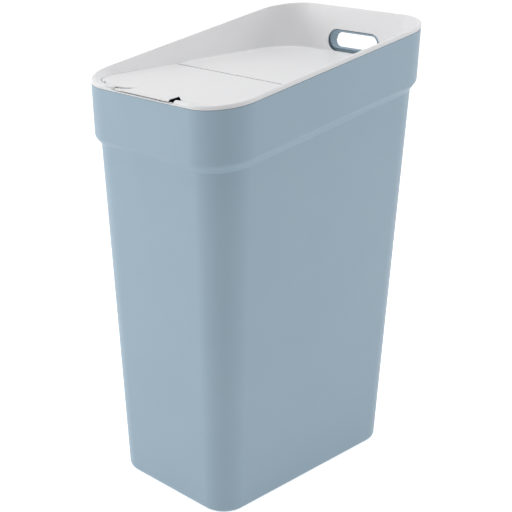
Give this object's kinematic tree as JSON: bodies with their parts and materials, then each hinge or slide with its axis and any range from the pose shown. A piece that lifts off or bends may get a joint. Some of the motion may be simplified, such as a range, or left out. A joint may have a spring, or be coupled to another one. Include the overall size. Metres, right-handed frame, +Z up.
{
  "type": "trash can",
  "caption": "Slant-topped kitchen bin with tapered body, stepped collar, lift-off lid frame, hinged front flap with finger tab and a hand hole through the back.",
  "frame": {"origin": "on the floor under the middle of the whole bin", "axes": "+Z up; -Y to the low front with the flap's finger tab, +Y to the high back with the hand hole; +X across the width, to the right of someone who faces the front"},
  "size_m": [0.25, 0.3614, 0.5551],
  "materials": {
    "blue_body": "fine matt moulded",
    "white_lid": "fine matt moulded"
  },
  "bodies": {
    "bin": {"bin_body": "blue_body"},
    "lid": {"lid_frame": "white_lid"},
    "flap": {"front_flap": "white_lid"}
  },
  "joints": [
    {"name": "lid_lift", "type": "slide", "parent": "bin", "child": "lid", "axis": [0, 0, 1], "range_m": [0, 0.1]},
    {"name": "flap_hinge", "type": "hinge", "parent": "lid", "child": "flap", "pos_m": [0, -0.0319, 0.4954], "axis": [-1, 0, 0], "range_deg": [0, 100]}
  ]
}
